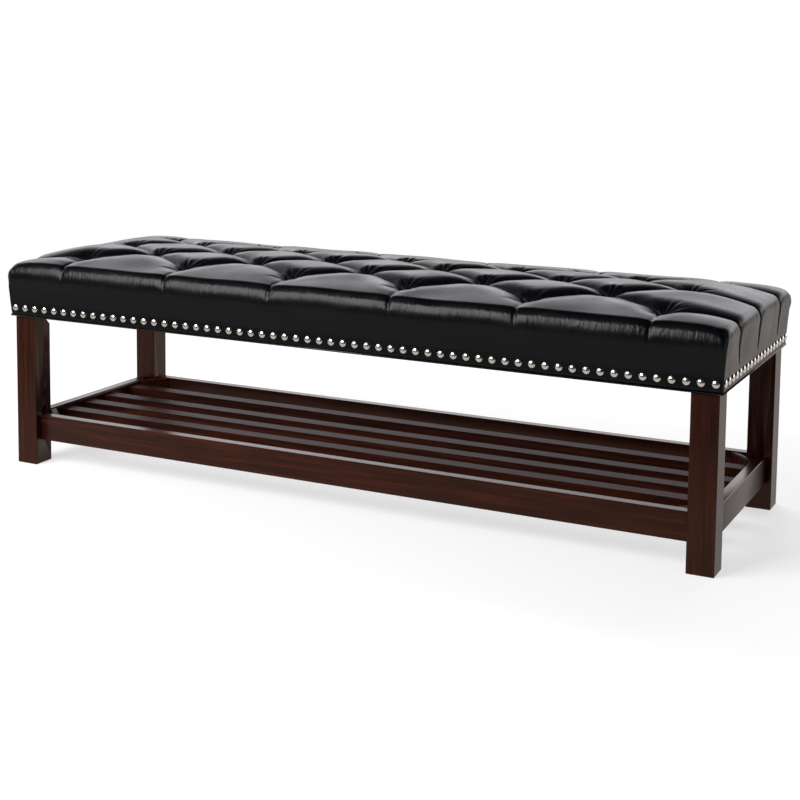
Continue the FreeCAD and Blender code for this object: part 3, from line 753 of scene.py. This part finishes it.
    def wrinkles(self, along: np.ndarray, across: np.ndarray) -> np.ndarray:
        """Raise low ridges that run out from each tuft, mostly to the right and back.

        Args:
            along: Lengths along the long outline.
            across: Lengths along the short outline.

        Returns:
            Each point's height.
        """
        random = np.random.default_rng(self.seed + 1)
        spot = np.column_stack([along, across])
        total = np.zeros(len(spot))
        for tuft in self.tufts:
            gap = spot - tuft
            radius = np.hypot(*gap.T)
            near = radius < 75 * MM
            angle = np.arctan2(gap[near, 1], gap[near, 0])
            reach = np.exp(-(((radius[near] - 20 * MM) / (20 * MM)) ** 2))
            phase = random.uniform(0, TURN, 3)
            ridges = np.sin(13 * angle + phase[0]) + 0.7 * np.sin(19 * angle + phase[1])
            side = 0.6 + 0.4 * np.cos(angle - 0.6)
            total[near] += self.wrinkle_height * ridges * reach * side
        return total

    def lumps(self, points: np.ndarray) -> np.ndarray:
        """Raise the slow, low swellings of hand-stuffed filling.

        Args:
            points: Points in the seat, one a row.

        Returns:
            Each point's height.
        """
        random = np.random.default_rng(self.seed)
        total = np.zeros(len(points))
        for _ in range(24):
            wave = random.normal(size=3)
            wave *= 2 * math.pi / (random.uniform(90, 260) * MM) / np.linalg.norm(wave)
            total += math.cos(random.uniform(0, TURN)) * np.sin(points @ wave + random.uniform(0, TURN))
        return total * self.lump_height

    def nearest_tuft(self, along: np.ndarray, across: np.ndarray) -> np.ndarray:
        """Measure each point from the tuft that lies nearest.

        Args:
            along: Lengths along the long outline.
            across: Lengths along the short outline.

        Returns:
            Each point's offset in metres, or one metre both ways where no tuft creases it.
        """
        spot = np.column_stack([along, across])
        gaps = np.hypot(spot[:, None, 0] - self.tufts[None, :, 0], spot[:, None, 1] - self.tufts[None, :, 1])
        offsets = spot - self.tufts[np.argmin(gaps, axis=1)]
        offsets[np.hypot(*offsets.T) > self.creased] = 1.0
        return offsets

    def build(self) -> bpy.types.Object:
        """Build the cover's mesh.

        Returns:
            The cover, with its underside open round the frame as on the real bench.
        """
        lines_x, lines_y = self.lattice()
        count_x, count_y = len(lines_x), len(lines_y)
        grid_x, grid_y = np.meshgrid(lines_x, lines_y, indexing="ij")
        along, across = grid_x.ravel(), grid_y.ravel()
        number = np.arange(count_x * count_y).reshape(count_x, count_y)
        squares = [number[:-1, :-1], number[1:, :-1], number[1:, 1:], number[:-1, 1:]]
        faces = np.stack(squares, -1).reshape(-1, 4)
        loop = np.concatenate([number[:-1, 0], number[-1, :-1], number[:0:-1, -1], number[0, :0:-1]])
        on_end = np.isclose(np.abs(along[loop]), self.long_edge.rim)
        on_side = np.isclose(np.abs(across[loop]), self.cross_edge.rim)

        side_along, side_across, side_faces = [], [], []
        previous = loop
        for row in range(1, self.side_rows + 1):
            share = row / self.side_rows
            down_x = self.long_edge.rim + share * (self.long_edge.full - self.long_edge.rim)
            down_y = self.cross_edge.rim + share * (self.cross_edge.full - self.cross_edge.rim)
            side_along.append(np.where(on_end, np.sign(along[loop]) * down_x, along[loop]))
            side_across.append(np.where(on_side, np.sign(across[loop]) * down_y, across[loop]))
            current = len(along) + (row - 1) * len(loop) + np.arange(len(loop))
            ring = [previous, np.roll(previous, -1), np.roll(current, -1), current]
            side_faces.append(np.stack(ring, -1)[:, ::-1])
            previous = current
        along = np.concatenate([along, *side_along])
        across = np.concatenate([across, *side_across])
        faces = np.vstack([faces, *side_faces])
        points = self.base(along, across)

        mesh = bpy.data.meshes.new("tufted_leather_cover")
        mesh.from_pydata(points.tolist(), [], faces.tolist())
        mesh.update()
        normals = np.zeros(len(points) * 3)
        mesh.vertices.foreach_get("normal", normals)
        normals = normals.reshape(-1, 3)
        band = np.clip((points[:, 2] - self.hem - self.band_height) / (30 * MM), 0, 1)
        inwards = self.depth(along, across)
        inwards *= np.where(inwards > 0, np.clip(band * 1.6, 0, 1), np.clip(normals[:, 2] * 2, 0, 1))
        swell = self.lumps(points) * band + self.wrinkles(along, across)
        points = points + normals * (swell - inwards)[:, None]
        mesh.vertices.foreach_set("co", points.ravel())

        cover = bpy.data.objects.new("tufted_leather_cover", mesh)
        bpy.context.scene.collection.objects.link(cover)
        self.close_underside(cover, previous)
        offsets = np.ones((len(mesh.vertices), 2))
        offsets[: len(along)] = self.nearest_tuft(along, across)
        layer = mesh.uv_layers.new(name="tuft_offset")
        corners = np.zeros(len(mesh.loops), dtype=np.int64)
        mesh.loops.foreach_get("vertex_index", corners)
        layer.data.foreach_set("uv", offsets[corners].ravel())
        mesh.polygons.foreach_set("use_smooth", np.ones(len(mesh.polygons), dtype=bool))
        mesh.update()
        return cover

    def close_underside(self, cover: bpy.types.Object, hem: np.ndarray) -> None:
        """Turn the hem in by the leather's thickness, and line the hollow that the foam and frame fill.

        Args:
            cover: The cover, open below.
            hem: The numbers of the vertices round the hem.
        """
        _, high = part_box("foam_slab")
        wall_x, wall_y, roof = (size + self.clearance for size in high)
        shell = bmesh.new()
        shell.from_mesh(cover.data)
        shell.verts.ensure_lookup_table()
        loops = [[shell.verts[int(index)] for index in hem]]
        for level in (self.hem, roof):
            ring = []
            for vertex in loops[0]:
                x = min(max(vertex.co.x, -wall_x), wall_x)
                y = min(max(vertex.co.y, -wall_y), wall_y)
                ring.append(shell.verts.new((x, y, level)))
            loops.append(ring)
        for first, second in zip(loops, loops[1:]):
            for index in range(len(hem)):
                after = (index + 1) % len(hem)
                shell.faces.new([first[index], second[index], second[after], first[after]][::-1])
        shell.faces.new(loops[-1])
        bmesh.ops.recalc_face_normals(shell, faces=shell.faces)
        shell.to_mesh(cover.data)
        shell.free()


@dataclass
class Filling:
    """What the seat holds under its leather: the foam slab and the lining cloth stapled below."""

    edge: float = 5 * MM
    notch_gap: float = 1 * MM
    cloth_cells: tuple[int, int] = (25, 8)

    def foam(self) -> bpy.types.Object:
        """Model the foam slab: a sawn sheet whose edges the leather has pressed round.

        Returns:
            The slab.
        """
        low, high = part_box("foam_slab")
        bpy.ops.object.select_all(action="DESELECT")
        bpy.ops.mesh.primitive_cube_add(size=1.0, location=(0, 0, 0))
        slab = bpy.context.object
        slab.name = slab.data.name = "pressed_foam_slab"
        centre, size = (low + high) / 2, high - low
        for vertex in slab.data.vertices:
            vertex.co = Vector(centre[i] + vertex.co[i] * size[i] for i in range(3))
        bpy.ops.object.mode_set(mode="EDIT")
        bpy.ops.mesh.select_all(action="SELECT")
        bpy.ops.mesh.bevel(offset=self.edge, segments=4, affect="EDGES")
        bpy.ops.object.mode_set(mode="OBJECT")
        bpy.ops.object.shade_smooth_by_angle(angle=math.radians(40))
        return slab

    def lining(self) -> tuple[bpy.types.Object, tuple[float, float], float]:
        """Model the lining cloth, cut out round the four leg posts.

        Returns:
            The cloth, the size it was cut from, and its area without the corner notches.
        """
        low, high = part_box("dust_cover")
        leg_low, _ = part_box("leg_back_right")
        notches, lines = [], []
        for axis, cells in enumerate(self.cloth_cells):
            notch = high[axis] - leg_low[axis] + self.notch_gap
            start, end = low[axis] + notch, high[axis] - notch
            inner = np.linspace(start, end, cells + 1)[1:-1]
            lines.append([low[axis], start, *inner, end, high[axis]])
            notches.append(notch)
        shell = bmesh.new()
        last_column, last_row = (len(places) - 2 for places in lines)
        for column, (x0, x1) in enumerate(zip(lines[0], lines[0][1:])):
            for row, (y0, y1) in enumerate(zip(lines[1], lines[1][1:])):
                if column in (0, last_column) and row in (0, last_row):
                    continue
                corners = ((x0, y0), (x1, y0), (x1, y1), (x0, y1))
                shell.faces.new([shell.verts.new((x, y, low.z)) for x, y in corners])
        bmesh.ops.remove_doubles(shell, verts=shell.verts, dist=0.01 * MM)
        bmesh.ops.recalc_face_normals(shell, faces=shell.faces)
        top = bmesh.ops.extrude_face_region(shell, geom=shell.faces[:])
        for vertex in (item for item in top["geom"] if isinstance(item, bmesh.types.BMVert)):
            vertex.co.z += high.z - low.z
        bmesh.ops.recalc_face_normals(shell, faces=shell.faces)
        width, length = high.x - low.x, high.y - low.y
        cloth = placed(shell, "lining_cloth", rounded=False)
        return cloth, (width, length), width * length - 4 * notches[0] * notches[1]


@dataclass
class Trim:
    """Nail heads and the welt under the hem. A head's rings are pairs of radius and height in millimetres."""

    head_rings: tuple[tuple[float, float], ...] = ((7.25, 0.0), (7.15, 0.9), (6.2, 2.1), (3.9, 3.2))
    head_top: float = 3.7
    head_sides: int = 14
    cord_sides: int = 20
    stand_out: float = 2.2 * MM

    def nail_row(
        self, node: str, count: int, first: Vector, last: Vector, facing: Vector
    ) -> bpy.types.Object:
        """Model one row of domed nail heads.

        Args:
            node: The CAD node that the row replaces.
            count: How many nails it has.
            first: The middle of the first nail's rim.
            last: The middle of the last nail's rim.
            facing: The way the domes point.

        Returns:
            The row as one object.
        """
        turn = facing.to_track_quat("Z", "Y").to_matrix().to_4x4()
        row = bmesh.new()
        for index in range(count):
            place = Matrix.Translation(first.lerp(last, index / (count - 1))) @ turn
            rings = []
            for radius, level in self.head_rings:
                ring = []
                for side in range(self.head_sides):
                    angle = 2 * math.pi * side / self.head_sides
                    point = Vector((radius * math.cos(angle), radius * math.sin(angle), level)) * MM
                    ring.append(row.verts.new(place @ point))
                rings.append(ring)
            tip = row.verts.new(place @ Vector((0, 0, self.head_top * MM)))
            row.faces.new(rings[0][::-1])
            for lower, upper in zip(rings, rings[1:]):
                for side in range(self.head_sides):
                    after = (side + 1) % self.head_sides
                    row.faces.new([lower[side], lower[after], upper[after], upper[side]])
            for side in range(self.head_sides):
                row.faces.new([rings[-1][side], rings[-1][(side + 1) % self.head_sides], tip])
        return placed(row, f"{node}_domed")

    def welt(self, node: str) -> bpy.types.Object:
        """Model one side of the leather-covered cord under the hem, mitred at both ends.

        Args:
            node: The CAD node that it replaces.

        Returns:
            The side.
        """
        low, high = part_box(node)
        middle = (low + high) / 2
        axis = 0 if high.x - low.x > high.y - low.y else 1
        across = 1 - axis
        radius = (high.z - low.z) / 2
        outward = 1 if middle[across] > 0 else -1
        cord = bmesh.new()
        rings = []
        for end in (-1, 1):
            ring = []
            for step in range(self.cord_sides):
                angle = 2 * math.pi * step / self.cord_sides
                out, up = radius * math.cos(angle), radius * math.sin(angle)
                point = Vector(middle)
                point[axis] += end * ((high[axis] - low[axis]) / 2 - radius + out + self.stand_out)
                point[across] += outward * (out + self.stand_out)
                point.z += up
                ring.append(cord.verts.new(point))
            rings.append(ring)
        for step in range(self.cord_sides):
            after = (step + 1) % self.cord_sides
            cord.faces.new([rings[0][step], rings[0][after], rings[1][after], rings[1][step]])
        cord.faces.new(rings[0][::-1])
        cord.faces.new(rings[1])
        bmesh.ops.recalc_face_normals(cord, faces=cord.faces)
        return placed(cord, f"{node}_cord")

    def nails(self) -> list[tuple[bpy.types.Object, str]]:
        """Model the four rows.

        Returns:
            Each row with the node it replaces.
        """
        made = []
        rim = self.head_rings[0][0] * MM
        for side, count, axis in (("front", 60, 0), ("back", 60, 0), ("left", 19, 1), ("right", 19, 1)):
            node = f"nails_{side}"
            low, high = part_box(node)
            middle = (low + high) / 2
            across = 1 - axis
            sign = 1 if middle[across] > 0 else -1
            facing = Vector((0, 0, 0))
            facing[across] = sign
            first, last = Vector(middle), Vector(middle)
            first[across] = last[across] = low[across] if sign > 0 else high[across]
            first[axis] = low[axis] + rim
            last[axis] = high[axis] - rim
            made.append((self.nail_row(node, count, first, last, facing), node))
        return made


@dataclass
class Studio:
    """A white studio: pale floor, soft lamps above and behind, and a camera at the photograph's place."""

    focal: float = 1519.02
    centre: tuple[float, float] = (376.19, 200.0)
    frame_size: float = 800.0
    yaw: float = math.radians(26.87)
    pitch: float = math.radians(5.95)
    roll: float = math.radians(-0.52)
    place: tuple[float, float, float] = (1370.47 * MM, -2742.7 * MM, 905.83 * MM)

    def camera(self) -> None:
        """Set up the camera. Its focal length and centre are in the photograph's pixels."""
        right = Vector((math.cos(self.yaw), math.sin(self.yaw), 0))
        ahead = Vector(
            (
                -math.sin(self.yaw) * math.cos(self.pitch),
                math.cos(self.yaw) * math.cos(self.pitch),
                -math.sin(self.pitch),
            )
        )
        down = ahead.cross(right)
        turned_right = math.cos(self.roll) * right + math.sin(self.roll) * down
        turned_down = math.cos(self.roll) * down - math.sin(self.roll) * right
        data = bpy.data.cameras.new("photo_camera")
        data.sensor_width = 36.0
        data.lens = self.focal / self.frame_size * data.sensor_width
        data.shift_x = (self.frame_size / 2 - self.centre[0]) / self.frame_size
        data.shift_y = (self.centre[1] - self.frame_size / 2) / self.frame_size
        data.clip_end = 100.0
        camera = bpy.data.objects.new("photo_camera", data)
        turn = Matrix((turned_right, -turned_down, -ahead)).transposed().to_4x4()
        camera.matrix_world = Matrix.Translation(self.place) @ turn
        bpy.context.scene.collection.objects.link(camera)
        bpy.context.scene.camera = camera

    def floor(self) -> None:
        """Lay the floor: white to the eye with a faint shadow, plain pale paint to the lamps, and a painted
        reflection glow to the bench's gloss, dark in front and pale behind.
        """
        bpy.ops.mesh.primitive_circle_add(vertices=96, radius=40.0, fill_type="NGON", location=(0, 0, 0))
        ground = bpy.context.object
        ground.name = "studio_floor"
        material, tree = new_material("white_studio_floor")
        place = add_node(tree, "ShaderNodeTexCoord")
        paint = add_node(tree, "ShaderNodeBsdfDiffuse", {"Color": linear("#e6e6e6")})
        veil = add_node(tree, "ShaderNodeBsdfDiffuse", {"Color": (0.52, 0.52, 0.52, 1)})
        glow = add_node(tree, "ShaderNodeEmission", {"Color": (1, 1, 1, 1), "Strength": 0.64})
        seen = add_node(tree, "ShaderNodeAddShader", {0: veil, 1: glow})
        white = add_node(tree, "ShaderNodeEmission", {"Color": (1, 1, 1, 1), "Strength": 1.0})
        reach = add_node(tree, "ShaderNodeVectorMath", {0: place.outputs["Object"]}, operation="LENGTH")
        fade = add_node(
            tree,
            "ShaderNodeMapRange",
            {"Value": reach.outputs["Value"], "From Min": 1.2, "From Max": 2.4},
            interpolation_type="SMOOTHSTEP",
        )
        near = add_node(tree, "ShaderNodeMixShader", {0: fade, 1: seen, 2: white})
        spot = add_node(tree, "ShaderNodeSeparateXYZ", {"Vector": place.outputs["Object"]})
        depthwise = add_node(
            tree, "ShaderNodeMapRange", {"Value": spot.outputs["Y"], "From Min": -1.9, "From Max": 1.0}
        )
        # Painted reflection: the bench's gloss sees the floor glow, dark in front towards the camera and pale
        # behind the bench.
        tone = colour_ramp(
            tree,
            depthwise.outputs["Result"],
            [
                (0.0, (0.07, 0.07, 0.085, 1)),
                (0.3, (0.5, 0.5, 0.48, 1)),
                (0.6, (0.5, 0.5, 0.48, 1)),
                (0.9, (0.66, 0.61, 0.58, 1)),
            ],
        )
        mirrored = add_node(tree, "ShaderNodeEmission", {"Color": tone, "Strength": 1.0})
        surface = by_ray(tree, rest=paint, mirrored=mirrored, seen=near)
        add_node(tree, "ShaderNodeOutputMaterial", {"Surface": surface})
        ground.data.materials.append(material)

    def world(self) -> None:
        """Light the room: white to the eye, a pale sweep behind the bench, and dark overhead and in front."""
        world = bpy.data.worlds.new("studio_room")
        bpy.context.scene.world = world
        world.use_nodes = True
        tree = world.node_tree
        tree.nodes.clear()
        place = add_node(tree, "ShaderNodeTexCoord")
        way = add_node(tree, "ShaderNodeSeparateXYZ", {"Vector": place.outputs["Generated"]})
        behind = add_node(
            tree,
            "ShaderNodeMapRange",
            {"Value": way.outputs["Y"], "From Min": -0.1, "From Max": 0.45},
            interpolation_type="SMOOTHSTEP",
        )
        sweep = colour_ramp(
            tree,
            way.outputs["Z"],
            [
                (0.03, (0.16, 0.16, 0.165, 1)),
                (0.13, (0.5, 0.5, 0.51, 1)),
                (0.26, (0.97, 0.97, 1.0, 1)),
                (0.42, (0.5, 0.5, 0.52, 1)),
                (0.64, (0.008, 0.008, 0.01, 1)),
            ],
        )
        tone = add_node(
            tree,
            "ShaderNodeMix",
            {"Factor": behind, "A": (0.008, 0.008, 0.01, 1), "B": sweep},
            data_type="RGBA",
        ).outputs["Result"]
        fill = add_node(tree, "ShaderNodeBackground", {"Color": (1, 1, 1, 1), "Strength": 0.15})
        mirrored = add_node(tree, "ShaderNodeBackground", {"Color": tone, "Strength": 2.5})
        white = add_node(tree, "ShaderNodeBackground", {"Color": (1, 1, 1, 1), "Strength": 1.0})
        surface = by_ray(tree, rest=fill, mirrored=mirrored, seen=white)
        add_node(tree, "ShaderNodeOutputWorld", {"Surface": surface})

    def lamp(
        self, name: str, size: tuple[float, float], power: float, place: Vector, target: Vector
    ) -> bpy.types.Object:
        """Hang one soft box.

        Args:
            name: The lamp's name.
            size: Its width and height in metres.
            power: Its power in watts.
            place: Where it hangs.
            target: What it points at.

        Returns:
            The lamp.
        """
        data = bpy.data.lights.new(name, "AREA")
        data.shape = "RECTANGLE"
        data.size, data.size_y = size
        data.energy = power
        lamp = bpy.data.objects.new(name, data)
        lamp.location = place
        lamp.rotation_euler = (target - place).to_track_quat("-Z", "Y").to_euler()
        bpy.context.scene.collection.objects.link(lamp)
        return lamp

    def build(self) -> None:
        """Set up camera, floor, room and lamps."""
        bpy.context.scene.view_settings.view_transform = "Standard"
        self.camera()
        self.floor()
        self.world()
        front_place, front_target = Vector((-1.3, -2.4, 1.8)), Vector((-0.2, -0.2, 0.4))
        self.lamp("front_left_soft_box", (2.4, 1.8), 100.0, front_place, front_target)
        rear_place, rear_target = Vector((-0.3, 1.5, 2.4)), Vector((0, -0.2, 0.2))
        rear = self.lamp("rear_soft_box", (3.0, 1.0), 45.0, rear_place, rear_target)
        rear.visible_glossy = False


def dress(node: str, material: bpy.types.Material) -> None:
    """Give a CAD node its material.

    Args:
        node: The CAD node.
        material: Its finish.
    """
    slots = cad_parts[node].data.materials
    slots.clear()
    slots.append(material)


def show(piece: bpy.types.Object, material: bpy.types.Material, slot: str, *nodes: str) -> None:
    """Finish a modelled piece.

    Args:
        piece: The piece.
        material: Its finish.
        slot: The name of the record's material slot, which is not used.
        *nodes: The CAD nodes it replaces.
    """
    piece.data.materials.clear()
    piece.data.materials.append(material)
    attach(piece, BODY)
    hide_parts(*nodes)
    LOG.info("%s made, %d faces", piece.name, len(piece.data.polygons))


@dataclass
class Joinery:
    """The stained legs and shelf, their long edges eased by sandpaper, and the raw timber inside the seat."""

    ease: float = 2.2 * MM
    shortest: float = 15 * MM
    sharp: float = math.radians(60)

    def eased(self, node: str) -> bpy.types.Object:
        """Copy a wooden CAD node and round its long outer edges.

        Args:
            node: The CAD node.

        Returns:
            The eased piece.
        """
        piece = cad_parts[node].copy()
        piece.data = piece.data.copy()
        piece.name = piece.data.name = f"{node}_eased"
        for key in list(piece.keys()):
            del piece[key]
        piece.parent = None
        piece.matrix_world = Matrix.Identity(4)
        bpy.context.scene.collection.objects.link(piece)
        bpy.ops.object.select_all(action="DESELECT")
        piece.select_set(True)
        bpy.context.view_layer.objects.active = piece
        bpy.ops.object.mode_set(mode="EDIT")
        bpy.ops.mesh.select_mode(type="EDGE")
        bpy.ops.mesh.select_all(action="SELECT")
        bpy.ops.mesh.remove_doubles(threshold=0.01 * MM)
        bpy.ops.mesh.dissolve_limited(angle_limit=math.radians(1))
        bpy.ops.mesh.select_all(action="DESELECT")
        shell = bmesh.from_edit_mesh(piece.data)
        for edge in shell.edges:
            if len(edge.link_faces) == 2 and edge.is_convex and edge.calc_length() > self.shortest:
                edge.select = edge.calc_face_angle() > self.sharp
        shell.select_flush_mode()
        bmesh.update_edit_mesh(piece.data)
        bpy.ops.mesh.bevel(offset=self.ease, segments=3, affect="EDGES", clamp_overlap=True)
        bpy.ops.object.mode_set(mode="OBJECT")
        bpy.ops.object.shade_smooth_by_angle(angle=math.radians(35))
        return piece

    def build(self) -> None:
        """Ease and finish the stained pieces, and give the hidden ones their finishes."""
        wood = {axis: StainedWood().build(axis) for axis in Axis}
        # The shelf has a thinner coat of lacquer than the legs and rails, so it shines less.
        slat_wood = StainedWood("thinly_lacquered_rubberwood", roughness=0.5, gloss=1.2).build(Axis.X)
        stained = {
            "leg_": wood[Axis.Z],
            "shelf_rail_front": wood[Axis.X],
            "shelf_rail_back": wood[Axis.X],
            "shelf_rail_": wood[Axis.Y],
            "shelf_slat_": slat_wood,
            "shelf_brace_": slat_wood,
        }
        # Sawn pine is pale and dull, with faint bands along the saw's way.
        pine = Plain("sawn_pine", "#cdb083", "#b39463", 9 * MM, 0.75, stretch=(0.1, 1.0, 1.0)).build()
        # Sanded plywood shows a warmer, smoother face veneer.
        veneer = Plain("sanded_plywood", "#cfae7c", "#b98f58", 14 * MM, 0.6, stretch=(0.08, 1.0, 1.0)).build()
        # Zinc plate makes steel a dull, cloudy grey.
        steel = Plain("zinc_plated_steel", "#b9bab6", "#8f918e", 2 * MM, 0.35, metallic=1.0).build()
        hidden = {"seat_deck": veneer, "seat_": pine, "skirt_": pine, "hanger_": steel, "bolt_": steel}
        for node in sorted(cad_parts):
            finish = next((stained[start] for start in stained if node.startswith(start)), None)
            if finish:
                show(self.eased(node), finish, "stained_wood", node)
                continue
            finish = next((hidden[start] for start in hidden if node.startswith(start)), None)
            if finish:
                dress(node, finish)


def main() -> None:
    logging.basicConfig(level=logging.INFO)
    Studio().build()
    Joinery().build()
    leather = Leather().build()
    cover = TuftedCover().build()
    show(cover, leather, "seat_leather", "tufted_cover")
    foam = Filling().foam()
    # Open-cell foam is a dull cream that yellows in patches.
    cream = Plain("open_cell_foam", "#e4dcae", "#d2c68c", 2 * MM, 0.95).build()
    show(foam, cream, "seat_foam", "foam_slab")
    lining, cut, area = Filling().lining()
    # Spunbonded lining cloth is a flat black with no shine.
    black = Plain("black_lining_cloth", "#131315", "#0a0a0b", 1.5 * MM, 0.9).build()
    show(lining, black, "dust_cloth", "dust_cover")
    nickel = Nickel().build()
    for row, node in Trim().nails():
        show(row, nickel, "nail_nickel", node)
    # The welt is the same leather, drawn tight round its cord, so it shines more and shows no folds.
    welt_leather = Leather(name="welt_leather", roughness=0.27, gloss=1.6, pleated=False).build()
    for side in ("front", "back", "left", "right"):
        show(Trim().welt(f"welt_{side}"), welt_leather, "welt_leather", f"welt_{side}")


if __name__ == "__main__":
    main()
